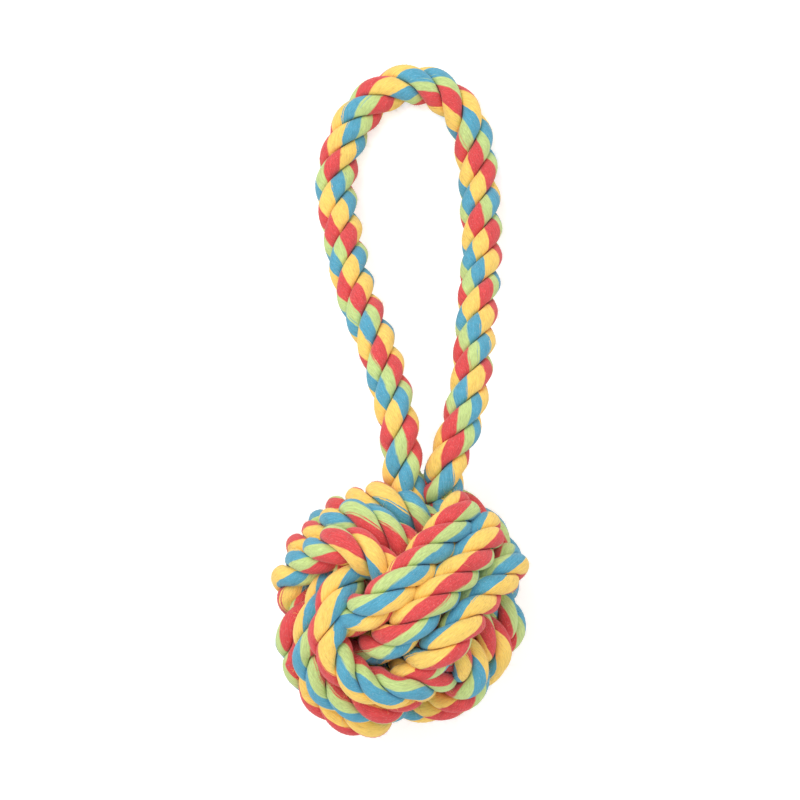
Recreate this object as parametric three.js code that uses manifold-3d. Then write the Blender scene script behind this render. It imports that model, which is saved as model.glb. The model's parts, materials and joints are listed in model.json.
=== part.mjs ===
// Rope ball toy for dogs: a knotted ball with a carrying loop, lying on the floor
import * as THREE from 'three';
import { mergeVertices } from 'three/addons/utils/BufferGeometryUtils.js';
import Module from 'manifold-3d';

// Driving sizes in millimetres
const rope_diameter = 16;
const wound_diameter = 15.2;
const ball_diameter = 103;
const turn_gap = 0.6;
const squeezed_diameter = 11.4;
const under_turn_radius = 27.5;
const outer_turn_drop = 1.8;
const core_clearance = 0.4;
const seat_clearance = 0.3;
const root_depth = 8;

// The second group lies bowed aside by hand: from where along the ball's second axis, and from how far off it
const bow_start = -36;
const bow_full_start = 2;
const bow_full_end = 14;
const bow_end = 36;
const bow_inner_radius = 12;
const bow_outer_radius = 34;

// Place of the neck, where the loop leaves the ball, from the centre of the ball
const neck_reach = 57.6;
const neck_side = 9.6;
const neck_rise = 9.2;
const leg_spacing = 19.2;

// The far end of the loop lies level on the floor from here on
const level_reach = 190;

// Counts and shares that set no size by themselves
const turns_per_group = 3;
const steps_per_turn = 24;
const turn_sides = 6;
const loop_steps = 56;
const loop_sides = 12;
const ball_squareness = 5;
const core_segments = 24;
const core_rings = 14;
const flat_share = 0.1;

// Angles in degrees
const ball_roll = 15;
const ball_pitch = -48;
const ball_yaw = 33.5;
const end_angle = 18;
const sidestep_angle = 70;
const squeeze_from_angle = 55;
const squeeze_to_angle = 78;
const bow_angle = 19;
const bow_full_angle = 22;
const bow_near_angle = 38;
const bow_far_angle = 120;

// Route of the loop seen from above, x and y from the centre of the ball, from leg to leg
const loop_route = [
  [-0.8, 72], [-4.4, 88], [-9.6, 104], [-15.6, 120], [-20.6, 136], [-23.8, 152], [-25.4, 168],
  [-23.5, 182.4], [-18.6, 194.8], [-11.9, 202.6], [-3.6, 207.8], [5.1, 209.6], [13.8, 207.6], [20.8, 202.2],
  [26.2, 194.3], [29.8, 181.4], [32.1, 167], [32.8, 151], [32.4, 135], [31.4, 119], [29.6, 103],
  [27.8, 87], [23.7, 71.5],
];

const rope_radius = rope_diameter / 2;
const wound_radius = wound_diameter / 2;
const squeezed_radius = squeezed_diameter / 2;
const over_turn_radius = ball_diameter / 2 - wound_radius;
const turn_pitch = rope_diameter + turn_gap;
const core_radius = under_turn_radius - squeezed_radius - core_clearance;
const flat_depth = rope_diameter * flat_share;

const rope_red = new THREE.Color(0xd84a50);
const rope_yellow = new THREE.Color(0xf7c65c);
const rope_green = new THREE.Color(0xbdd873);
const rope_blue = new THREE.Color(0x4b9fc4);
const core_cream = new THREE.Color(0xe8dfc8);
const cotton_roughness = 0.95;

const wasm = await Module();
wasm.setup();

function smooth(value) {
  const t = THREE.MathUtils.clamp(value, 0, 1);
  return t * t * (3 - 2 * t);
}

// Solids from meshes and back
function toSolid(geometry) {
  const bare = geometry.clone();
  bare.deleteAttribute('normal');
  bare.deleteAttribute('uv');
  const merged = mergeVertices(bare);
  const mesh = new wasm.Mesh({
    numProp: 3,
    vertProperties: Float32Array.from(merged.attributes.position.array),
    triVerts: Uint32Array.from(merged.index.array),
  });
  return new wasm.Manifold(mesh);
}

function toGeometry(solid) {
  const mesh = solid.getMesh();
  const geometry = new THREE.BufferGeometry();
  geometry.setAttribute('position', new THREE.BufferAttribute(Float32Array.from(mesh.vertProperties), 3));
  geometry.setIndex(new THREE.BufferAttribute(Uint32Array.from(mesh.triVerts), 1));
  geometry.computeVertexNormals();
  return geometry;
}

// A closed tube through the points, each ring with its own radius, its frame carried along unturned
function sweepTube(points, radii, sides) {
  const positions = [];
  const indices = [];
  const tangents = points.map((point, i) => {
    const before = points[Math.max(i - 1, 0)];
    const after = points[Math.min(i + 1, points.length - 1)];
    return after.clone().sub(before).normalize();
  });
  const side = new THREE.Vector3(1, 0, 0).cross(tangents[0]).normalize();
  const spin = new THREE.Quaternion();
  points.forEach((point, i) => {
    if (i > 0) {
      spin.setFromUnitVectors(tangents[i - 1], tangents[i]);
      side.applyQuaternion(spin);
    }
    const up = tangents[i].clone().cross(side);
    for (let j = 0; j < sides; j += 1) {
      const angle = 2 * Math.PI * j / sides;
      const vertex = point.clone();
      vertex.addScaledVector(side, radii[i] * Math.cos(angle));
      vertex.addScaledVector(up, radii[i] * Math.sin(angle));
      positions.push(vertex.x, vertex.y, vertex.z);
    }
  });
  for (let i = 0; i + 1 < points.length; i += 1) {
    for (let j = 0; j < sides; j += 1) {
      const a = i * sides + j;
      const b = i * sides + (j + 1) % sides;
      indices.push(a, b, b + sides, a, b + sides, a + sides);
    }
  }
  const last = (points.length - 1) * sides;
  for (let j = 1; j + 1 < sides; j += 1) {
    indices.push(0, j + 1, j, last, last + j, last + j + 1);
  }
  const geometry = new THREE.BufferGeometry();
  geometry.setAttribute('position', new THREE.Float32BufferAttribute(positions, 3));
  geometry.setIndex(indices);
  return geometry;
}

// Where the second group lies on top, everything is drawn aside round the ball's second axis
function drawAside(x, y, z) {
  const radius = Math.hypot(x, z);
  const angle = THREE.MathUtils.radToDeg(Math.atan2(x, z));
  const falling = angle < 0 ? bow_near_angle : bow_far_angle;
  const round = 1 - smooth((Math.abs(angle) - bow_full_angle) / falling);
  const rising = smooth((y - bow_start) / (bow_full_start - bow_start));
  const along = rising * (1 - smooth((y - bow_full_end) / (bow_end - bow_full_end)));
  const deep = smooth((radius - bow_inner_radius) / (bow_outer_radius - bow_inner_radius));
  const drawn = THREE.MathUtils.degToRad(angle - bow_angle * round * along * deep);
  return new THREE.Vector3(radius * Math.sin(drawn), y, radius * Math.cos(drawn));
}

// Each group of turns winds round one axis of the ball, over the group before it and under the next
function windTurns(group) {
  const points = [];
  const radii = [];
  const end_share = end_angle / 360;
  const steps = Math.round(steps_per_turn * turns_per_group);
  for (let i = 0; i <= steps; i += 1) {
    const turn = end_share + (turns_per_group - 2 * end_share) * i / steps;
    const angle = 2 * Math.PI * turn;
    let place = -(turns_per_group - 1) / 2;
    for (let k = 1; k < turns_per_group; k += 1) {
      place += smooth((turn - k) * 360 / sidestep_angle + 1 / 2);
    }
    const over = over_turn_radius - outer_turn_drop * place * place;
    const across = Math.pow(Math.abs(Math.cos(angle)) / under_turn_radius, ball_squareness);
    const along = Math.pow(Math.abs(Math.sin(angle)) / over, ball_squareness);
    const reach = Math.pow(across + along, -1 / ball_squareness);
    const lift = THREE.MathUtils.radToDeg(Math.asin(Math.min(Math.abs(Math.sin(angle)), 1)));
    const fullness = smooth((lift - squeeze_from_angle) / (squeeze_to_angle - squeeze_from_angle));
    const local = [0, 0, 0];
    local[group % 3] = -reach * Math.cos(angle);
    local[(group + 1) % 3] = -reach * Math.sin(angle);
    local[(group + 2) % 3] = turn_pitch * place;
    points.push(drawAside(...local));
    radii.push(squeezed_radius + (wound_radius - squeezed_radius) * fullness);
  }
  return { points, radii };
}

// Least gap between the turns of one tube, measured on its points and radii
function leastGap(route) {
  const { points, radii } = route;
  let length = 0;
  const lengths = points.map((point, i) => {
    length += i > 0 ? point.distanceTo(points[i - 1]) : 0;
    return length;
  });
  let least = Infinity;
  for (let i = 0; i < points.length; i += 1) {
    for (let j = i + 1; j < points.length; j += 1) {
      if (lengths[j] - lengths[i] > over_turn_radius) {
        least = Math.min(least, points[i].distanceTo(points[j]) - radii[i] - radii[j]);
      }
    }
  }
  return { least, length };
}

// Everything below the floor is cut away, which leaves the flats that the toy rests on
function cutAtFloor(solid, span) {
  const floor = new THREE.BoxGeometry(span, span, span);
  floor.translate(0, 0, -span / 2);
  return solid.subtract(toSolid(floor));
}

function addPiece(group, name, geometry, color) {
  const material = new THREE.MeshStandardMaterial({ color, roughness: cotton_roughness, metalness: 0 });
  const mesh = new THREE.Mesh(geometry, material);
  mesh.name = name;
  group.add(mesh);
}

// The three groups of turns, turned as the ball lies
const ball_turn = new THREE.Euler(
  THREE.MathUtils.degToRad(ball_roll),
  THREE.MathUtils.degToRad(ball_pitch),
  THREE.MathUtils.degToRad(ball_yaw),
  'ZYX',
);
const routes = [0, 1, 2].map((group) => {
  const route = windTurns(group);
  route.points.forEach((point) => point.applyEuler(ball_turn));
  return route;
});
routes.forEach((route, group) => {
  const { least, length } = leastGap(route);
  console.log(`group ${group + 1}: least gap ${least.toFixed(2)} mm, length ${length.toFixed(0)} mm`);
});

const turn_shapes = routes.map((route) => sweepTube(route.points, route.radii, turn_sides));
const lowest = Math.min(...turn_shapes.map((shape) => {
  shape.computeBoundingBox();
  return shape.boundingBox.min.z;
}));
const ball_height = -lowest - flat_depth;
const neck_height = ball_height + neck_rise;
const cut_span = 2 * (level_reach + ball_diameter);

// The same turns with the seat clearance added, which press their shape into what lies against them
const pressing_turns = routes.map((route) => {
  const fat_radii = route.radii.map((radius) => radius + seat_clearance);
  const shape = sweepTube(route.points, fat_radii, turn_sides);
  shape.translate(0, 0, ball_height);
  return toSolid(shape);
});

// Rope squeezed between the groups gives way: each group is pressed in by the groups before it
const turn_solids = turn_shapes.map((shape, group) => {
  shape.translate(0, 0, ball_height);
  let turns = cutAtFloor(toSolid(shape), cut_span);
  pressing_turns.slice(0, group).forEach((pressing) => {
    turns = turns.subtract(pressing);
  });
  return turns;
});

// The ball's core, which keeps it round
const core_shape = new THREE.SphereGeometry(core_radius, core_segments, core_rings);
core_shape.rotateX(Math.PI / 2);
core_shape.translate(0, 0, ball_height);

// The loop: a free length of the rope that sinks from the neck to the floor
function sink(reach) {
  const share = smooth((reach - neck_reach) / (level_reach - neck_reach));
  return neck_height + (rope_radius - flat_depth - neck_height) * share;
}

const leg_ends = [-1, 1].map((hand) => (
  new THREE.Vector3(neck_side + hand * leg_spacing / 2, neck_reach, neck_height)
));
const loop_points = loop_route.map(([x, y]) => new THREE.Vector3(x, y, sink(y)));
const loop_curve = new THREE.CatmullRomCurve3([leg_ends[0], ...loop_points, leg_ends[1]]);
const loop_section = new THREE.Shape();
for (let j = 0; j < loop_sides; j += 1) {
  const angle = 2 * Math.PI * (j + 1 / 2) / loop_sides;
  const corner = [rope_radius * Math.cos(angle), rope_radius * Math.sin(angle)];
  if (j === 0) {
    loop_section.moveTo(...corner);
  } else {
    loop_section.lineTo(...corner);
  }
}
loop_section.closePath();
const loop_shape = new THREE.ExtrudeGeometry(loop_section, { steps: loop_steps, extrudePath: loop_curve });
let loop_solid = toSolid(loop_shape);
leg_ends.forEach((end) => {
  const knuckle = new THREE.SphereGeometry(rope_radius, loop_sides, loop_sides / 2);
  knuckle.translate(end.x, end.y, end.z);
  loop_solid = loop_solid.add(toSolid(knuckle));
});
loop_solid = cutAtFloor(loop_solid, cut_span);
console.log(`loop: length ${loop_curve.getLength().toFixed(0)} mm`);

// The roots of the two legs, pressed into the gap where the three groups meet
function legRoot(end) {
  const shape = new THREE.CylinderGeometry(rope_radius, rope_radius, root_depth, loop_sides);
  shape.translate(end.x, end.y - rope_radius - seat_clearance - root_depth / 2, end.z);
  let root = toSolid(shape);
  pressing_turns.forEach((turns) => {
    root = root.subtract(turns);
  });
  return root;
}

const toy = new THREE.Group();
addPiece(toy, 'core', core_shape, core_cream);
addPiece(toy, 'first_turns', toGeometry(turn_solids[0]), rope_red);
addPiece(toy, 'second_turns', toGeometry(turn_solids[1]), rope_blue);
addPiece(toy, 'third_turns', toGeometry(turn_solids[2]), rope_green);
addPiece(toy, 'left_leg_root', toGeometry(legRoot(leg_ends[0])), rope_yellow);
addPiece(toy, 'right_leg_root', toGeometry(legRoot(leg_ends[1])), rope_yellow);
addPiece(toy, 'handle_loop', toGeometry(loop_solid), rope_yellow);

// The origin lies on the floor under the middle of the whole toy
const extent = new THREE.Box3().setFromObject(toy);
const middle = extent.getCenter(new THREE.Vector3());
toy.position.set(-middle.x, -middle.y, 0);
const neck = new THREE.Vector3(neck_side, neck_reach, neck_height).add(toy.position);
const centre = new THREE.Vector3(0, 0, ball_height).add(toy.position);
console.log('neck', neck.toArray().map((value) => value.toFixed(2)).join(' '));
console.log('ball centre', centre.toArray().map((value) => value.toFixed(2)).join(' '));

export default toy;
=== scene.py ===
import json
import math

import bpy
import numpy as np
from bpy.props import FloatProperty, FloatVectorProperty, IntProperty, PointerProperty
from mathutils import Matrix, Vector


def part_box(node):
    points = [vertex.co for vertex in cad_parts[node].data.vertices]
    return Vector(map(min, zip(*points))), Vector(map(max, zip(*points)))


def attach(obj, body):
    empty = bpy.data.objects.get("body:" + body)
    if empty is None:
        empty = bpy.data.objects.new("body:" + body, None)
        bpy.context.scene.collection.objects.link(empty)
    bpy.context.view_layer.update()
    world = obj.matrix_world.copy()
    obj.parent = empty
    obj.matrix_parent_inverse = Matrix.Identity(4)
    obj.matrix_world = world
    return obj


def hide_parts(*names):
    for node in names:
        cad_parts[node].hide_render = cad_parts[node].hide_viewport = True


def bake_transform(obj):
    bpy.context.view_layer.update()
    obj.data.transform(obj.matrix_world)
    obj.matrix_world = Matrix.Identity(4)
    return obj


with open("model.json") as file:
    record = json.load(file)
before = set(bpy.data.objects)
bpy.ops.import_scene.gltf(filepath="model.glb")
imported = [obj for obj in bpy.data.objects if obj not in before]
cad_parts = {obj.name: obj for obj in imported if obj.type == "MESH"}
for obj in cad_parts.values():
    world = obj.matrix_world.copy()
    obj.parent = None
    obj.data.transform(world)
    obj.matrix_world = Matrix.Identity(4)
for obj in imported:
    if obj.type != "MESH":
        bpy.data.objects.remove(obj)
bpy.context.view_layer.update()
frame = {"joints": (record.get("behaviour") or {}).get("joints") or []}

bl_info = {
    "name": "Rope Ball Toy",
    "version": (1, 0, 0),
    "blender": (4, 5, 0),
    "location": "3D View > Sidebar > Rope Toy",
    "description": "Lays the cotton strands of a rope ball toy over its solid model",
    "category": "Object",
}

# The solid model's box, and the places that the ropes take from it
core_low, core_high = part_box("core")
ball_centre = (core_low + core_high) / 2
neck = Vector(frame["joints"][0]["pos_m"])

MM = 0.001
QUARTER = math.pi / 2
FULL = 2 * math.pi

# Route of the loop's middle line seen from above, in metres from the ball's centre, from leg to leg
LOOP_ROUTE = np.array([
    (-0.8, 72), (-4.4, 88), (-9.6, 104), (-15.6, 120), (-20.6, 136), (-23.8, 152), (-25.4, 168),
    (-23.5, 182.4), (-18.6, 194.8), (-11.9, 202.6), (-3.6, 207.8), (5.1, 209.6), (13.8, 207.6), (20.8, 202.2),
    (26.2, 194.3), (29.8, 181.4), (32.1, 167), (32.8, 151), (32.4, 135), (31.4, 119), (29.6, 103),
    (27.8, 87), (23.7, 71.5),
]) * MM

# Points that each leg passes inside the ball, from the ball's centre, in the loop's order
LEFT_ROOT = np.array([(5.2, 37.0, 1.1), (2.4, 47.0, 7.3)]) * MM
RIGHT_ROOT = np.array([(17.0, 47.0, 7.3), (13.4, 37.0, 1.1)]) * MM

# Where the hand-tied ball is out of round: direction seen from above and width, in degrees, and how far out
OUT_OF_ROUND = (
    (44, 20, 2.8 * MM), (103, 18, -3.5 * MM), (150, 25, -1.0 * MM), (189, 22, -4.2 * MM), (228, 20, 3.4 * MM),
    (279, 16, -6.0 * MM), (325, 22, -3.5 * MM), (357, 16, -4.5 * MM))

# Passes over the top that are drawn aside by hand: group, count of turns, width in turns, and how far, as a
# share of the space between two turns
DRAWN_PASSES = ((2, 2.81, 0.13, -0.27),)

# Loose fibres grow further than this from the ball's centre: on the loop, and on the turns
LOOP_FUZZ_FROM = 0.055
TURN_FUZZ_FROM = 0.041

# Lengths of the slow waves in which hand-laid rope strays from its route
STRAY_WAVES = (0.047, 0.071, 0.113)

# Patterns on the cotton: how many features there are to a metre, across and along the yarns
CLOUDS = (110, 70)
TUFTS = (1500, 210)
FIBRES = (5200, 520)
LINT = (3000, 1300)
LINT_COLOUR = (0.93, 0.90, 0.82, 1)

# How strongly dry cotton mirrors the light
DULL = 0.18


def screen(red, green, blue):
    """A colour given as seen on a screen, from 0 to 255, as the linear light that a shader takes."""
    share = np.array([red, green, blue]) / 255
    return tuple(np.where(share <= 0.04045, share / 12.92, ((share + 0.055) / 1.055) ** 2.4))


class RopeSizes(bpy.types.PropertyGroup):
    diameter: FloatProperty(
        name="Diameter", description="Thickness of the rope over its strands",
        default=0.0167, min=0.004, max=0.05, unit="LENGTH")
    lay: FloatProperty(
        name="Lay", description="Length in which a strand goes once round the rope",
        default=0.039, min=0.01, max=0.2, unit="LENGTH")
    strands: IntProperty(
        name="Strands", description="Strands laid together", default=3, min=3, max=4)
    crown: FloatProperty(
        name="Crown", description="Radius of a strand's round back, as a share of the rope's radius",
        default=0.60, min=0.4, max=0.8, subtype="FACTOR")
    roundness: FloatProperty(
        name="Roundness", description="How round a strand's edges are; lower is rounder",
        default=6.0, min=3, max=20)
    stripes: IntProperty(
        name="Stripes", description="Colour stripes seen round the rope", default=8, min=4, max=16)
    twist: FloatProperty(
        name="Twist", description="How many stripes the colours move on in one lay",
        default=1.0, min=-8, max=8)
    wander: FloatProperty(
        name="Wander", description="How far the hand-tied rope strays from its even route",
        default=0.00025, min=0, max=0.002, unit="LENGTH")
    ring_step: FloatProperty(
        name="Ring step", description="Distance between two rings of points along the rope",
        default=0.0011, min=0.0005, max=0.01, unit="LENGTH")
    outline_points: IntProperty(
        name="Outline points", description="Points round one strand", default=32, min=8, max=64)


class BallSizes(bpy.types.PropertyGroup):
    diameter: FloatProperty(
        name="Diameter", description="Thickness of the ball over the middle turn of a group",
        default=0.1022, min=0.03, max=0.3, unit="LENGTH")
    turns: IntProperty(name="Turns", description="Turns in each group", default=3, min=1, max=5)
    turn_pitch: FloatProperty(
        name="Turn pitch", description="From the middle of one turn to the next one beside it",
        default=0.0166, min=0.004, max=0.05, unit="LENGTH")
    squeezed_diameter: FloatProperty(
        name="Squeezed diameter", description="Thickness of a turn where another group lies on it",
        default=0.0148, min=0.003, max=0.05, unit="LENGTH")
    under_turn_radius: FloatProperty(
        name="Under turn", description="From the ball's centre to a turn that lies under another group",
        default=0.0275, min=0.01, max=0.1, unit="LENGTH")
    outer_turn_drop: FloatProperty(
        name="Outer turn drop", description="How much lower a group's two outer turns lie",
        default=0.0018, min=0, max=0.01, unit="LENGTH")
    bow: FloatProperty(
        name="Bow", description="How far the second group is drawn aside where it lies on top",
        default=math.radians(19), subtype="ANGLE")
    squareness: FloatProperty(
        name="Squareness", description="How square a turn is where it dives under",
        default=5.0, min=2, max=10)
    end_angle: FloatProperty(
        name="End", description="Where a group's rope begins and ends, under the turns that cover it",
        default=math.radians(18), subtype="ANGLE")
    sidestep_angle: FloatProperty(
        name="Sidestep", description="Stretch of a turn in which it moves over to the next place",
        default=math.radians(70), subtype="ANGLE")
    squeeze_from: FloatProperty(
        name="Squeezed below", description="Lift of a turn at which it is squeezed all through",
        default=math.radians(25), subtype="ANGLE")
    squeeze_to: FloatProperty(
        name="Full above", description="Lift of a turn at which it has its full thickness",
        default=math.radians(50), subtype="ANGLE")
    roll: FloatProperty(
        name="Roll", description="Turn of the ball about X, first",
        default=math.radians(15), subtype="ANGLE")
    pitch: FloatProperty(
        name="Pitch", description="Turn of the ball about Y, second",
        default=math.radians(-48), subtype="ANGLE")
    yaw: FloatProperty(
        name="Yaw", description="Turn of the ball about Z, third",
        default=math.radians(33.5), subtype="ANGLE")


class HandleSizes(bpy.types.PropertyGroup):
    leg_spacing: FloatProperty(
        name="Leg spacing", description="Between the middles of the two legs at the neck",
        default=0.0174, min=0.005, max=0.1, unit="LENGTH")
    level_from: FloatProperty(
        name="Level from", description="How far along Y from the ball's centre the loop comes to lie level",
        default=0.190, unit="LENGTH")
    level_height: FloatProperty(
        name="Level height", description="Height of the rope's middle where it lies level",
        default=0.0064, min=0, max=0.1, unit="LENGTH")
    bend: FloatProperty(
        name="Bend", description="Length over which the rope bends at the neck when the loop swings",
        default=0.016, min=0.002, max=0.05, unit="LENGTH")


class CottonLook(bpy.types.PropertyGroup):
    blue: FloatVectorProperty(
        name="Blue", description="Colour of the blue yarns", subtype="COLOR", size=3, min=0, max=1,
        default=screen(90, 165, 193))
    green: FloatVectorProperty(
        name="Green", description="Colour of the green yarns", subtype="COLOR", size=3, min=0, max=1,
        default=screen(197, 217, 140))
    red: FloatVectorProperty(
        name="Red", description="Colour of the red yarns", subtype="COLOR", size=3, min=0, max=1,
        default=screen(222, 80, 82))
    yellow: FloatVectorProperty(
        name="Yellow", description="Colour of the yellow yarns", subtype="COLOR", size=3, min=0, max=1,
        default=screen(252, 211, 110))
    shares: FloatVectorProperty(
        name="Shares", description="Widths of the blue, green, red and yellow stripes, as shares of the four",
        size=4, min=0.02, max=1, default=(0.23, 0.185, 0.28, 0.305))
    core: FloatVectorProperty(
        name="Core", description="Colour of the packed cotton core", subtype="COLOR", size=3, min=0, max=1,
        default=screen(232, 223, 200))
    roughness: FloatProperty(
        name="Roughness", description="Roughness of dry cotton", default=0.92, min=0, max=1, subtype="FACTOR")
    sheen: FloatProperty(
        name="Sheen", description="Light that loose fibres catch at the edges",
        default=0.22, min=0, max=1, subtype="FACTOR")
    yarn: FloatProperty(
        name="Yarn", description="Width of one yarn", default=0.00125, min=0.0002, max=0.01, unit="LENGTH")
    relief: FloatProperty(
        name="Relief", description="Depth of the furrows between yarns and fibres",
        default=0.0003, min=0, max=0.002, unit="LENGTH")
    fibres: IntProperty(
        name="Fibres", description="Loose fibres on each group of turns", default=3500, min=0, max=9000)
    fibre_length: FloatProperty(
        name="Fibre length", description="Mean length of a loose fibre",
        default=0.0022, min=0.0005, max=0.01, unit="LENGTH")
    fibre_thickness: FloatProperty(
        name="Fibre thickness", description="Thickness of a loose fibre at its root",
        default=0.00005, min=0.00001, max=0.0005, unit="LENGTH")


class StageLook(bpy.types.PropertyGroup):
    width: FloatProperty(
        name="Width in view", description="Width of floor that the camera takes in, at the ball's height",
        default=0.32, min=0.1, max=2, unit="LENGTH")
    distance: FloatProperty(
        name="Camera distance", description="From the camera to the ball's height",
        default=5.0, min=0.5, max=20, unit="LENGTH")
    aim: FloatVectorProperty(
        name="Aim", description="Point that the camera looks down on", subtype="TRANSLATION", size=3,
        default=(0.0, -0.001, 0.05))
    lamp_power: FloatProperty(
        name="Lamp", description="Power of the large soft lamp, in watts", default=6.5, min=0)
    sky: FloatProperty(
        name="Surroundings", description="Brightness of the white surroundings on the toy",
        default=0.9, min=0)
    floor_glow: FloatProperty(
        name="Floor glow", description="Light that the camera sees on the floor besides the lamps'",
        default=0.4, min=0)


class ToySettings(bpy.types.PropertyGroup):
    rope: PointerProperty(type=RopeSizes)
    ball: PointerProperty(type=BallSizes)
    handle: PointerProperty(type=HandleSizes)
    cotton: PointerProperty(type=CottonLook)
    stage: PointerProperty(type=StageLook)


def stripe_width(rope):
    """Width of one colour stripe: the rope's girth shared among the stripes."""
    return math.pi * rope.diameter / rope.stripes


def smooth(value):
    """Rises from 0 to 1 as value does, level at both ends: three times its square less twice its cube."""
    t = np.clip(value, 0, 1)
    return t * t * (3 - 2 * t)


def unit(vectors):
    """The same directions at length one."""
    return vectors / np.linalg.norm(vectors, axis=-1, keepdims=True)


# Routes

def evenly(points, step, *values):
    """Points and values resampled at equal steps of length along the line, with the length so far."""
    reach = np.concatenate([[0], np.cumsum(np.linalg.norm(np.diff(points, axis=0), axis=1))])
    along = np.linspace(0, reach[-1], int(round(reach[-1] / step)) + 1)
    line = np.stack([np.interp(along, reach, points[:, axis]) for axis in range(3)], axis=1)
    return along, line, *[np.interp(along, reach, value) for value in values]


def curve_through(points, per_span=60):
    """A smooth curve through the points: on each span a cubic whose slopes come from the neighbouring points,
    weighted by the square roots of the distances between them."""
    ends = np.stack([2 * points[0] - points[1], 2 * points[-1] - points[-2]])
    padded = np.concatenate([ends[:1], points, ends[1:]])
    gaps = np.sqrt(np.linalg.norm(np.diff(padded, axis=0), axis=1))[:, None]
    before, here, after = gaps[:-2], gaps[1:-1], gaps[2:]
    p0, p1, p2, p3 = padded[:-3], padded[1:-2], padded[2:-1], padded[3:]
    slope1 = ((p1 - p0) / before - (p2 - p0) / (before + here) + (p2 - p1) / here) * here
    slope2 = ((p2 - p1) / here - (p3 - p1) / (here + after) + (p3 - p2) / after) * here
    t = np.linspace(0, 1, per_span, endpoint=False)[None, :, None]
    p1, p2, slope1, slope2 = (part[:, None, :] for part in (p1, p2, slope1, slope2))
    curve = ((2 * t**3 - 3 * t**2 + 1) * p1 + (t**3 - 2 * t**2 + t) * slope1
             + (3 * t**2 - 2 * t**3) * p2 + (t**3 - t**2) * slope2)
    return np.concatenate([curve.reshape(-1, 3), points[-1:]])


def handle_route(settings):
    """The loop's middle line with both roots: it sinks from the neck to the floor as a smooth step in Y."""
    sizes = settings.handle
    centre = np.array(ball_centre)
    seen = LOOP_ROUTE + centre[:2]
    share = smooth((seen[:, 1] - neck.y) / (sizes.level_from + centre[1] - neck.y))
    loop = np.column_stack([seen, neck.z + (sizes.level_height - neck.z) * share])
    half = sizes.leg_spacing / 2
    left, right = (np.array([[neck.x + hand * half, neck.y, neck.z]]) for hand in (-1, 1))
    return curve_through(np.concatenate([LEFT_ROOT + centre, left, loop, right, RIGHT_ROOT + centre]))


def ball_turn(sizes):
    """The ball's turn as a matrix: about X, then Y, then Z."""
    angles = (sizes.roll, sizes.pitch, sizes.yaw)
    (cx, cy, cz), (sx, sy, sz) = np.cos(angles), np.sin(angles)
    about_x = np.array([[1, 0, 0], [0, cx, -sx], [0, sx, cx]])
    about_y = np.array([[cy, 0, sy], [0, 1, 0], [-sy, 0, cy]])
    about_z = np.array([[cz, -sz, 0], [sz, cz, 0], [0, 0, 1]])
    return about_z @ about_y @ about_x


def drawn_aside(local, bow):
    """The second group lies bowed aside by hand: where it lies on top, everything is turned round the ball's
    second axis. The turn is full between two places along that axis and fades off before and after them, and
    it fades off round the axis and towards it, each time as a smooth step."""
    x, y, z = local.T / MM
    # In degrees round the axis
    full_to, fade_before, fade_after = 22, 38, 120
    # In millimetres along the axis, and away from it
    first_from, first_full, last_full, last_to = -36, 2, 14, 36
    inner, outer = 12, 34
    radius, angle = np.hypot(x, z), np.degrees(np.arctan2(x, z))
    round_ = 1 - smooth((np.abs(angle) - full_to) / np.where(angle < 0, fade_before, fade_after))
    along = smooth((y - first_from) / (first_full - first_from))
    along *= 1 - smooth((y - last_full) / (last_to - last_full))
    outwards = smooth((radius - inner) / (outer - inner))
    drawn = np.radians(angle) - bow * round_ * along * outwards
    return np.column_stack([radius * np.sin(drawn), y, radius * np.cos(drawn)]) * MM


def drawn_in(local):
    """The ball's outside is drawn in or stands out by a bell curve round each direction of the list, fading
    off as a smooth step towards the upright line through its middle."""
    inner, outer = 18 * MM, 42 * MM
    reach, heading = np.hypot(local[:, 0], local[:, 1]), np.degrees(np.arctan2(local[:, 1], local[:, 0]))
    out = np.zeros_like(reach)
    for direction, width, height in OUT_OF_ROUND:
        out += height * np.exp(-(((heading - direction + 180) % 360 - 180) / width) ** 2)
    share = 1 + out * smooth((reach - inner) / (outer - inner)) / np.maximum(reach, MM)
    return local * np.column_stack([share, share, np.ones_like(share)])


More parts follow.
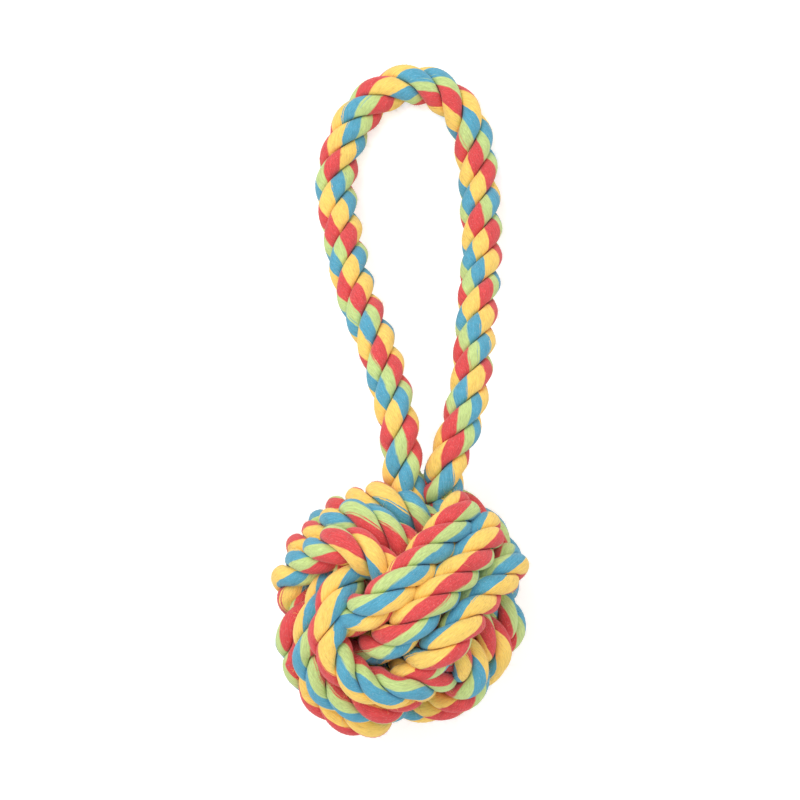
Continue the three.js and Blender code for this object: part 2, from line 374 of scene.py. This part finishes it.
def turns_route(settings, group):
    """One group's middle line, its radius and its turn count. The rope goes round one axis of the ball on a
    squared oval, wide where it lies over the group before and narrow where it dives under the next. It steps
    aside by one rope each time that it is hidden. A pass of the list is drawn aside by a bell curve. The
    first group isn't bowed where it goes down beside the third, and comes to be so by two smooth steps."""
    rope, sizes = settings.rope, settings.ball
    points_to_a_turn = 900
    beside = (20 * MM, 15 * MM)
    end = sizes.end_angle / FULL
    turn = np.linspace(end, sizes.turns - end, points_to_a_turn * sizes.turns)
    angle = FULL * turn
    place = np.full_like(turn, -(sizes.turns - 1) / 2)
    for k in range(1, sizes.turns):
        place += smooth((turn - k) * FULL / sizes.sidestep_angle + 1 / 2)
    over = (sizes.diameter - rope.diameter) / 2 - sizes.outer_turn_drop * place**2
    for which, at, width, aside in DRAWN_PASSES:
        if which == group:
            place += aside * np.exp(-((turn - at) / width) ** 2)
    across = (np.abs(np.cos(angle)) / sizes.under_turn_radius) ** sizes.squareness
    along = (np.abs(np.sin(angle)) / over) ** sizes.squareness
    reach = (across + along) ** (-1 / sizes.squareness)
    lift = np.arcsin(np.abs(np.sin(angle)))
    full = smooth((lift - sizes.squeeze_from) / (sizes.squeeze_to - sizes.squeeze_from))
    local = np.zeros((len(turn), 3))
    local[:, group % 3] = -reach * np.cos(angle)
    local[:, (group + 1) % 3] = -reach * np.sin(angle)
    local[:, (group + 2) % 3] = sizes.turn_pitch * place
    radius = (sizes.squeezed_diameter + (rope.diameter - sizes.squeezed_diameter) * full) / 2
    bow = np.full_like(turn, sizes.bow)
    if group == 0:
        bow *= 1 - smooth(local[:, 0] / beside[0]) * smooth(local[:, 1] / beside[1])
    return drawn_in(drawn_aside(local, bow) @ ball_turn(sizes).T) + np.array(ball_centre), radius, turn


# Strands

def strand_outline(rope):
    """One strand's outline in the rope's cross-section, for a rope of radius one: a round back whose circle
    touches the rope's, and two flat flanks that meet near the middle, drawn together as a sum of powers.
    The points are closest together on the back, by a sine. Returns the points and their distance round the
    outline from the middle of the back."""
    crowding, flank_gap = 0.16, 0.006
    count = rope.outline_points
    even = np.arange(count) / count * 2 - 1
    swing = math.pi * (even - crowding * np.sin(math.pi * even))
    half = math.pi / rope.strands
    middle = 1 - rope.crown
    flank = middle * math.sin(half) - flank_gap
    terms = rope.crown ** -rope.roundness
    for hand in (-1, 1):
        facing = np.maximum(np.cos(swing - hand * (half + QUARTER)), 0)
        terms = terms + (facing / flank) ** rope.roundness
    reach = terms ** (-1 / rope.roundness)
    outline = np.column_stack([middle + reach * np.cos(swing), reach * np.sin(swing)])
    closed = np.concatenate([outline, outline[:1]])
    girth = np.concatenate([[0], np.cumsum(np.linalg.norm(np.diff(closed, axis=0), axis=1))])
    return outline, girth - np.interp(0, np.append(swing, swing[0] + FULL), girth)


def press_on_floor(points, skin=1.3 * MM):
    """Rope below the skin's height is pressed flat on the floor, its depth fading off as an exponential."""
    height = points[..., 2]
    pressed = points.copy()
    pressed[..., 2] = np.where(height < skin, skin * np.exp(np.minimum(height - skin, 0) / skin), height)
    return pressed


def lay_strands(rope, along, line, radius, facing, start, places, seed, order=1):
    """The strands of a rope: each is the strand outline, turned once round the rope in each lay and carried
    along the line square to it. facing is the direction that the cross-section keeps to. Returns the points
    as strand, ring, outline point, and for each the place across and along the yarns in metres. Yarns run
    along the rope on the strands' backs, so the place across them grows with the turn round the rope. start
    is the turn before the lay is counted, in degrees, for the whole rope or for each ring. places are where
    the strands start in the order of the colours, in stripes, and each lay moves them on by the rope's twist.
    order is -1 where the rope is laid from its other end, so that its colours follow each other the other way
    round. Slow sine waves bend the line, turn the strands and swell them a little."""
    turn_stray, swell_share, swell_wave = 0.015, 0.012, 0.031
    chance = np.random.default_rng(seed)
    ahead = unit(np.gradient(line, axis=0))
    side = unit(np.cross(facing, ahead))
    up = np.cross(ahead, side)
    stray = sum(np.sin(FULL * along[:, None] / wave + chance.uniform(0, FULL, 3)) for wave in STRAY_WAVES)
    line = line + rope.wander * (stray[:, :1] * side + stray[:, 1:2] * up)
    outline, girth = strand_outline(rope)
    outer = rope.diameter / 2
    step = FULL / rope.strands
    turned = FULL * along / rope.lay + np.radians(start) + turn_stray * stray[:, 2]
    angle = turned[None, :] + step * np.arange(rope.strands)[:, None]
    swelling = FULL * along[None, :] / swell_wave + chance.uniform(0, FULL, (rope.strands, 1))
    size = radius[None, :] * (1 + swell_share * np.sin(swelling))
    cos, sin = (size * np.cos(angle))[..., None], (size * np.sin(angle))[..., None]
    x, y = outline[:, 0], outline[:, 1]
    across_side, across_up = cos * x - sin * y, sin * x + cos * y
    points = (line[None, :, None, :] + across_side[..., None] * side[None, :, None, :]
              + across_up[..., None] * up[None, :, None, :])
    shift = np.resize(places, rope.strands)[:, None] + rope.twist * angle / FULL
    yarn = (order * angle * outer + shift * stripe_width(rope))[..., None] + order * girth * outer
    length = np.broadcast_to(along[None, :, None], yarn.shape)
    return press_on_floor(points), np.stack([yarn, length], axis=-1)


def face_corners(grid):
    """The four corners of each face between two rings, from a grid of tube, ring, outline point."""
    return grid[:, :-1, :-1], grid[:, :-1, 1:], grid[:, 1:, 1:], grid[:, 1:, :-1]


def strand_mesh(name, points, yarns):
    """A mesh of closed tubes from points given as tube, ring, outline point, with the places across and along
    the yarns as its own map. Each tube's rings are joined by four-sided faces, and each end is one face."""
    tubes, rings, count = points.shape[:3]
    index = np.arange(tubes * rings * count).reshape(tubes, rings, count)
    wrapped = np.concatenate([index, index[..., :1]], axis=2)
    quads = np.stack(face_corners(wrapped), axis=-1)
    quad_yarns = np.stack(face_corners(yarns), axis=-2)
    ends = np.concatenate([index[:, 0, ::-1], index[:, -1, :]])
    end_yarns = np.concatenate([yarns[:, 0, :-1][:, ::-1], yarns[:, -1, :-1]])
    corners = np.concatenate([quads.ravel(), ends.ravel()])
    starts = np.concatenate([np.arange(quads.size // 4) * 4, quads.size + np.arange(len(ends)) * count])
    mesh = bpy.data.meshes.new(name)
    mesh.vertices.add(index.size)
    mesh.vertices.foreach_set("co", points.astype(np.float32).ravel())
    mesh.loops.add(len(corners))
    mesh.loops.foreach_set("vertex_index", corners.astype(np.int32))
    mesh.polygons.add(len(starts))
    mesh.polygons.foreach_set("loop_start", starts.astype(np.int32))
    mesh.update(calc_edges=True)
    places = np.concatenate([quad_yarns.reshape(-1, 2), end_yarns.reshape(-1, 2)])
    mesh.uv_layers.new(name="yarns").data.foreach_set("uv", places.astype(np.float32).ravel())
    mesh.polygons.foreach_set("use_smooth", np.ones(len(starts), bool))
    mesh.validate()
    return mesh


def add_piece(name, mesh, material):
    """A new object at the origin, with its material."""
    piece = bpy.data.objects.new(name, mesh)
    piece.data.materials.append(material)
    bpy.context.scene.collection.objects.link(piece)
    return piece


def growing(points, margin):
    """Marks the points on the strands' backs that lie further than the margin from the ball's centre."""
    back = 0.42
    centre = np.array(ball_centre)
    outside = np.linalg.norm(points - centre, axis=-1) > margin
    count = points.shape[2]
    on_back = np.abs(np.arange(count) / count * 2 - 1) < back
    return outside & on_back[None, None, :]


def loose_fibres(points, yarns, wanted, look, seed):
    """Short fibres that stand off the strands: each starts at a point of the surface, leans out and to a side
    by chance, and bends as a parabola. wanted marks the points where fibres may grow. Each fibre is a
    three-sided spike of four rings. Returns the points and their yarn places as tube, ring, outline point."""
    outward_pull, curl, late_pull = 0.75, 1.1, 0.25
    evenness, longest = 3.0, 2.2
    sunk, sides = 0.25, 3
    taper = np.array([1, 0.9, 0.7, 0.3])
    count = look.fibres
    chance = np.random.default_rng(seed)
    forward = np.gradient(points, axis=1)
    around = np.roll(points, -1, axis=2) - np.roll(points, 1, axis=2)
    outward = unit(np.cross(around, forward))
    spots = np.flatnonzero(wanted)
    picked = spots[chance.integers(0, len(spots), count)]
    root = points.reshape(-1, 3)[picked]
    out = outward.reshape(-1, 3)[picked]
    place = yarns[:, :, :-1].reshape(-1, 2)[picked]
    lean = unit(chance.normal(size=(count, 3)))
    first = unit(out * outward_pull + lean)
    second = unit(first + curl * unit(chance.normal(size=(count, 3))) + late_pull * out)
    length = look.fibre_length * np.minimum(chance.gamma(evenness, 1 / evenness, (count, 1)), longest)
    t = np.linspace(0, 1, len(taper))[None, :, None]
    start = (root - sunk * look.fibre_thickness * out)[:, None]
    line = start + length[:, None] * (t * first[:, None] + 0.5 * t**2 * (second - first)[:, None])
    side = unit(np.cross(first, second + 0.01))
    up = np.cross(unit(first + second), side)
    turn = (FULL * np.arange(sides) / sides)[None, None, :, None]
    thick = look.fibre_thickness / 2 * taper[None, :, None, None]
    ring = np.cos(turn) * side[:, None, None] + np.sin(turn) * up[:, None, None]
    spikes = press_on_floor(line[:, :, None] + thick * ring)
    return spikes, np.broadcast_to(place[:, None, None], (count, len(taper), sides + 1, 2))


# Materials

class Finish:
    """A material's or a world's nodes, built up call by call."""

    def __init__(self, owner):
        owner.use_nodes = True
        self.owner = owner
        self.tree = owner.node_tree
        self.tree.nodes.clear()

    def add(self, kind, inputs=None, **settings):
        """A node of this kind with its settings; an input is a plain value, or the output that feeds it."""
        node = self.tree.nodes.new(kind)
        for key, value in settings.items():
            setattr(node, key, value)
        for key, value in (inputs or {}).items():
            if isinstance(value, bpy.types.NodeSocket):
                self.tree.links.new(value, node.inputs[key])
            else:
                node.inputs[key].default_value = value
        return node

    def sum(self, operation, first, second=0.0, third=0.0):
        """The output of one sum on numbers."""
        node = self.add("ShaderNodeMath", {0: first, 1: second, 2: third}, operation=operation)
        return node.outputs[0]

    def mix(self, share, first, second, blend="MIX"):
        """The output of a mix of two colours."""
        node = self.add("ShaderNodeMix", {0: share, 6: first, 7: second}, data_type="RGBA", blend_type=blend)
        return node.outputs[2]

    def ramp(self, value, stops, interpolation="LINEAR"):
        """The colour at value on a ramp of stops, each a place from 0 to 1 and a colour."""
        node = self.add("ShaderNodeValToRGB", {0: value})
        node.color_ramp.interpolation = interpolation
        while len(node.color_ramp.elements) < len(stops):
            node.color_ramp.elements.new(1.0)
        for element, (place, colour) in zip(node.color_ramp.elements, stops):
            element.position = place
            element.color = (*colour, 1)
        return node.outputs[0]

    def noise(self, vector, scale, detail=2.0, roughness=0.5):
        """The output of a cloudy pattern, from 0 to 1."""
        inputs = {"Vector": vector, "Scale": scale, "Detail": detail, "Roughness": roughness}
        return self.add("ShaderNodeTexNoise", inputs).outputs[0]

    def spread(self, pattern, width, middle):
        """The middle, moved by up to half the width either way as the pattern goes from 0 to 1."""
        return self.sum("MULTIPLY_ADD", self.sum("SUBTRACT", pattern, 0.5), width, middle)

    def place(self, across, along, features):
        """A place for a pattern that has its own number of features each way."""
        scaled = {k: self.sum("MULTIPLY", way, features[k]) for k, way in enumerate((across, along))}
        return self.add("ShaderNodeCombineXYZ", scaled).outputs[0]

    def finish(self, surface):
        """The material with this surface."""
        self.add("ShaderNodeOutputMaterial", {"Surface": surface})
        return self.owner


def grey(level):
    """A grey of this level."""
    return (level, level, level)


def rope_cotton(name, width, look, relief):
    """Four-colour cotton: stripes across the yarns in the order blue, green, red, yellow, with soft uneven
    edges, now and then a stray yarn on an edge, fibre streaks that are partly random tone and partly painted
    shade in the furrows of their own bump, paler lint, and furrows between the yarns."""
    f = Finish(bpy.data.materials.new(name))
    yarns = f.add("ShaderNodeUVMap", uv_map="yarns").outputs[0]
    split = f.add("ShaderNodeSeparateXYZ", {0: yarns})
    across, along = split.outputs[0], split.outputs[1]

    # The yarns wander a little, the fibres lie slantwise on them, and both make the stripes' edges ragged
    wandering, raggedness, slant, soft_edge = 0.0011, 0.0014, 0.22, 0.009
    slow = f.place(across, along, CLOUDS)
    placed = f.spread(f.noise(slow, 1.0, 2.0), wandering, across)
    skewed = f.sum("MULTIPLY_ADD", across, slant, along)
    tuft = f.noise(f.place(placed, skewed, TUFTS), 1.0, 2.0, 0.6)
    stripe = f.sum("DIVIDE", f.spread(tuft, raggedness, placed), width)

    # Each yarn has its own pattern along it, by which it takes the next stripe's colour near an edge
    yarn_step, stray_rate, stray_width = 7.3, 40, 0.45
    number = f.sum("FLOOR", f.sum("DIVIDE", placed, look.yarn))
    strays = f.noise(f.place(number, along, (yarn_step, stray_rate)), 1.0, 0.0)
    share = f.sum("FRACT", f.sum("MULTIPLY", f.spread(strays, stray_width, stripe), 0.25))
    edges = np.concatenate([[0], np.cumsum(look.shares) / sum(look.shares)])
    stops = []
    for k, colour in enumerate([look.blue, look.green, look.red, look.yellow]):
        first, last = float(edges[k]) + soft_edge, float(edges[k + 1]) - soft_edge
        stops += [(first, tuple(colour)), (last, tuple(colour))]
    striped = f.ramp(share, stops)

    # Fibre streaks, tufts and clouds make the colour lighter and darker, and lint lies on it. The fibre
    # streaks are
    # partly painted shade: the colour is darker where the same pattern sinks in the bump
    fibre_tone_and_shade, cloud_tone, tuft_tone, least_tone = 1.0, 0.24, 0.56, 0.11
    fibre = f.noise(f.place(placed, skewed, FIBRES), 1.0, 3.0, 0.65)
    cloud = f.noise(slow, 2.3, 3.0, 0.6)
    tone = f.sum("MULTIPLY_ADD", tuft, tuft_tone, least_tone)
    tone = f.sum("MULTIPLY_ADD", cloud, cloud_tone, tone)
    # Painted shade: the fibre pattern that raises the bump also darkens the colour where it is low
    tone = f.sum("MULTIPLY_ADD", fibre, fibre_tone_and_shade, tone)
    shade = f.add("ShaderNodeCombineColor", {0: tone, 1: tone, 2: tone}).outputs[0]
    toned = f.mix(1.0, striped, shade, "MULTIPLY")
    specks = f.noise(f.place(across, along, LINT), 1.0, 2.0, 0.6)
    lint = f.ramp(specks, [(0.58, grey(0)), (0.84, grey(0.4))])
    shader = {"Base Color": f.mix(lint, toned, LINT_COLOUR), "Roughness": look.roughness,
              "Sheen Weight": look.sheen, "Sheen Roughness": 0.45, "Specular IOR Level": DULL}
    if relief:
        ridge = f.sum("ABSOLUTE", f.sum("SINE", f.sum("MULTIPLY", placed, math.pi / look.yarn)))
        height = f.sum("MULTIPLY_ADD", fibre, 0.9, f.sum("MULTIPLY", f.sum("POWER", ridge, 0.6), 0.55))
        bump = f.add("ShaderNodeBump", {"Height": height, "Strength": 0.55, "Distance": look.relief})
        shader["Normal"] = bump.outputs[0]
    return f.finish(f.add("ShaderNodeBsdfPrincipled", shader).outputs[0])


def core_cotton(look):
    """Packed raw cotton: cream, with short fibre streaks, and painted shade that darkens the hollows of its
    bumps.
    """
    f = Finish(bpy.data.materials.new("packed_cotton"))
    place = f.add("ShaderNodeTexCoord").outputs["Object"]
    tufts = f.noise(place, 260, 4.0, 0.6)
    # Painted shade: the same tufts that raise the bump make the cream darker where they are low
    hollow_shade, light = (tuple(level * part for part in look.core) for level in (0.72, 1.0))
    colour = f.ramp(tufts, [(0.3, hollow_shade), (0.7, light)])
    bump = f.add("ShaderNodeBump", {"Height": tufts, "Strength": 0.6, "Distance": 0.0008})
    shader = f.add("ShaderNodeBsdfPrincipled", {
        "Base Color": colour, "Roughness": look.roughness, "Sheen Weight": look.sheen,
        "Specular IOR Level": DULL, "Normal": bump.outputs[0]})
    return f.finish(shader.outputs[0])


def seen_directly(f):
    """One where the camera looks at the surface, straight, by a mirror or through glass, and nought
    elsewhere."""
    path = f.add("ShaderNodeLightPath")
    seen = f.sum("MAXIMUM", path.outputs["Is Camera Ray"], path.outputs["Is Glossy Ray"])
    return f.sum("MAXIMUM", seen, path.outputs["Is Transmission Ray"])


def shared_cotton(settings, name="four_colour_cotton", relief=True):
    """The rope's material, made once."""
    return bpy.data.materials.get(name) or rope_cotton(
        name, stripe_width(settings.rope), settings.cotton, relief)


def rope_pieces(settings, name, points, yarns, fuzz_from, seed):
    """The laid strands as one piece, and the loose fibres that stand off them as another."""
    piece = add_piece(f"{name}_rope", strand_mesh(f"{name}_rope", points, yarns), shared_cotton(settings))
    spikes, places = loose_fibres(points, yarns, growing(points, fuzz_from), settings.cotton, seed)
    fuzz = add_piece(
        f"{name}_fuzz", strand_mesh(f"{name}_fuzz", spikes, places),
        shared_cotton(settings, "loose_cotton", False))
    return piece, fuzz


def core_surface(radius, rings=60, columns=96, pole=0.02):
    """A ball in rings of latitude whose radius swells and sinks by a few waves round it: the product of a
    sine of five waves round and one of four up, and a smaller one of nine round, both fading off at the
    poles."""
    fit, lump, second_lump = 0.985, 0.012, 0.6
    rise, turn = np.meshgrid(
        np.linspace(pole, math.pi - pole, rings), np.arange(columns) / columns * FULL, indexing="ij")
    lumps = np.sin(5 * turn + 3 * rise) * np.sin(4 * rise)
    lumps += second_lump * np.sin(9 * turn - 4 * rise) * np.sin(rise)
    reach = radius * (fit + lump * lumps * np.sin(rise))
    points = np.stack([np.sin(rise) * np.cos(turn), np.sin(rise) * np.sin(turn), -np.cos(rise)], axis=-1)
    return points * reach[..., None] + np.array(ball_centre)


# What the operators make

class TOY_OT_set_stage(bpy.types.Operator):
    """Sets up the camera that looks straight down, the pale floor, the surroundings and the soft lamp"""
    bl_idname = "toy.set_stage"
    bl_label = "Set Stage"

    lamp_size = 0.7
    lamp_place = (-0.45, 0.5, 1.25)
    floor_reach = 12.0
    floor_colour = (0.9, 0.9, 0.9, 1)

    def execute(self, context):
        scene, look = context.scene, context.scene.rope_toy.stage
        camera = bpy.data.objects.new("camera", bpy.data.cameras.new("camera"))
        camera.location = Vector(look.aim) + Vector((0, 0, look.distance))
        camera.data.lens = camera.data.sensor_width * look.distance / look.width
        camera.data.clip_end = 4 * look.distance
        scene.collection.objects.link(camera)
        scene.camera = camera

        lamp = bpy.data.objects.new("soft_lamp", bpy.data.lights.new("soft_lamp", "AREA"))
        lamp.data.energy = look.lamp_power
        lamp.data.size = self.lamp_size
        lamp.location = self.lamp_place
        lamp.rotation_euler = (-lamp.location).to_track_quat("-Z", "Y").to_euler()
        scene.collection.objects.link(lamp)

        corners = np.array([(-1, -1, 0), (1, -1, 0), (1, 1, 0), (-1, 1, 0)]) * self.floor_reach
        mesh = bpy.data.meshes.new("floor")
        mesh.from_pydata(corners.tolist(), [], [(0, 1, 2, 3)])
        f = Finish(bpy.data.materials.new("floor_paper"))
        glow = f.add("ShaderNodeEmission", {"Strength": f.sum("MULTIPLY", seen_directly(f), look.floor_glow)})
        paper = f.add("ShaderNodeBsdfDiffuse", {"Color": self.floor_colour})
        both = f.add("ShaderNodeAddShader", {0: paper.outputs[0], 1: glow.outputs[0]})
        add_piece("floor", mesh, f.finish(both.outputs[0]))

        world = bpy.data.worlds.new("surroundings")
        scene.world = world
        w = Finish(world)
        strength = w.sum("MULTIPLY_ADD", seen_directly(w), 1 - look.sky, look.sky)
        background = w.add("ShaderNodeBackground", {"Color": (1, 1, 1, 1), "Strength": strength})
        w.add("ShaderNodeOutputWorld", {"Surface": background.outputs[0]})
        scene.view_settings.view_transform = "Standard"
        return {"FINISHED"}


class TOY_OT_lay_handle(bpy.types.Operator):
    """Lays the three strands of the loop, with both legs down to their roots in the ball"""
    bl_idname = "toy.lay_handle"
    bl_label = "Lay Handle"

    # How far the rope is turned at the left root, in degrees, and where its strands start in the order of the
    # colours, in stripes
    start = 68.0
    places = (0.5, 2.0, 1.0)
    rope_seed, fuzz_seed = 11, 12

    def execute(self, context):
        settings = context.scene.rope_toy
        rope = settings.rope
        along, line = evenly(handle_route(settings), rope.ring_step)
        radius = np.full_like(along, rope.diameter / 2)
        upward = np.array([0.0, 0.0, 1.0])
        points, yarns = lay_strands(
            rope, along, line, radius, upward, self.start, self.places, self.rope_seed)
        piece, fuzz = rope_pieces(settings, "handle", points, yarns, LOOP_FUZZ_FROM, self.fuzz_seed)
        for part in (piece, fuzz):
            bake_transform(part)
        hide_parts("handle_loop", "left_leg_root", "right_leg_root")
        return {"FINISHED"}


class TOY_OT_wind_ball(bpy.types.Operator):
    """Winds the three groups of turns that make the ball, each of three strands"""
    bl_idname = "toy.wind_ball"
    bl_label = "Wind Ball"

    groups = ("first", "second", "third")
    # For each group: how far the rope is turned at the beginning and at the end, in degrees, and where its
    # strands start in the order of the colours, in stripes
    starts = ((50, 25), (100, -53), (45, -6))
    places = ((1.25, 2.5, 2.75), (2.25, 1.25, 1.25), (3.0, 2.75, 2.5))
    rope_seed, fuzz_seed = 20, 30

    def execute(self, context):
        settings = context.scene.rope_toy
        rope = settings.rope
        turned = ball_turn(settings.ball)
        for group, word in enumerate(self.groups):
            route, radius, turn = turns_route(settings, group)
            along, line, radius, turn = evenly(route, rope.ring_step, radius, turn)
            axis = turned[:, (group + 2) % 3]
            start = np.interp(turn, (0, settings.ball.turns), self.starts[group])
            points, yarns = lay_strands(
                rope, along, line, radius, axis, start, self.places[group], self.rope_seed + group, -1)
            piece, fuzz = rope_pieces(settings, word, points, yarns, TURN_FUZZ_FROM, self.fuzz_seed + group)
            for part in (piece, fuzz):
                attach(part, "ball")
            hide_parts(f"{word}_turns")
        return {"FINISHED"}


class TOY_OT_pack_core(bpy.types.Operator):
    """Packs the cotton core that the turns are wound round"""
    bl_idname = "toy.pack_core"
    bl_label = "Pack Core"

    def execute(self, context):
        surface = core_surface((core_high.x - core_low.x) / 2)[None]
        tubes, rings, columns = surface.shape[:3]
        mesh = strand_mesh("core_wad", surface, np.zeros((tubes, rings, columns + 1, 2)))
        piece = add_piece("core_wad", mesh, core_cotton(context.scene.rope_toy.cotton))
        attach(piece, "ball")
        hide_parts("core")
        return {"FINISHED"}


class TOY_PT_panel(bpy.types.Panel):
    """The toy's sizes and the steps that make it"""
    bl_idname = "TOY_PT_panel"
    bl_label = "Rope Toy"
    bl_space_type = "VIEW_3D"
    bl_region_type = "UI"
    bl_category = "Rope Toy"

    def draw(self, context):
        settings = context.scene.rope_toy
        for operator in OPERATORS:
            self.layout.operator(operator.bl_idname)
        for group in (settings.rope, settings.ball, settings.handle, settings.cotton, settings.stage):
            box = self.layout.box()
            for key in type(group).__annotations__:
                box.prop(group, key)


OPERATORS = (TOY_OT_set_stage, TOY_OT_lay_handle, TOY_OT_wind_ball, TOY_OT_pack_core)
CLASSES = (RopeSizes, BallSizes, HandleSizes, CottonLook, StageLook, ToySettings, *OPERATORS, TOY_PT_panel)


def register():
    for cls in CLASSES:
        bpy.utils.register_class(cls)
    bpy.types.Scene.rope_toy = PointerProperty(type=ToySettings)


def unregister():
    del bpy.types.Scene.rope_toy
    for cls in reversed(CLASSES):
        bpy.utils.unregister_class(cls)


def main():
    register()
    bpy.ops.toy.set_stage()
    bpy.ops.toy.lay_handle()
    bpy.ops.toy.wind_ball()
    bpy.ops.toy.pack_core()


if __name__ == "__main__":
    main()
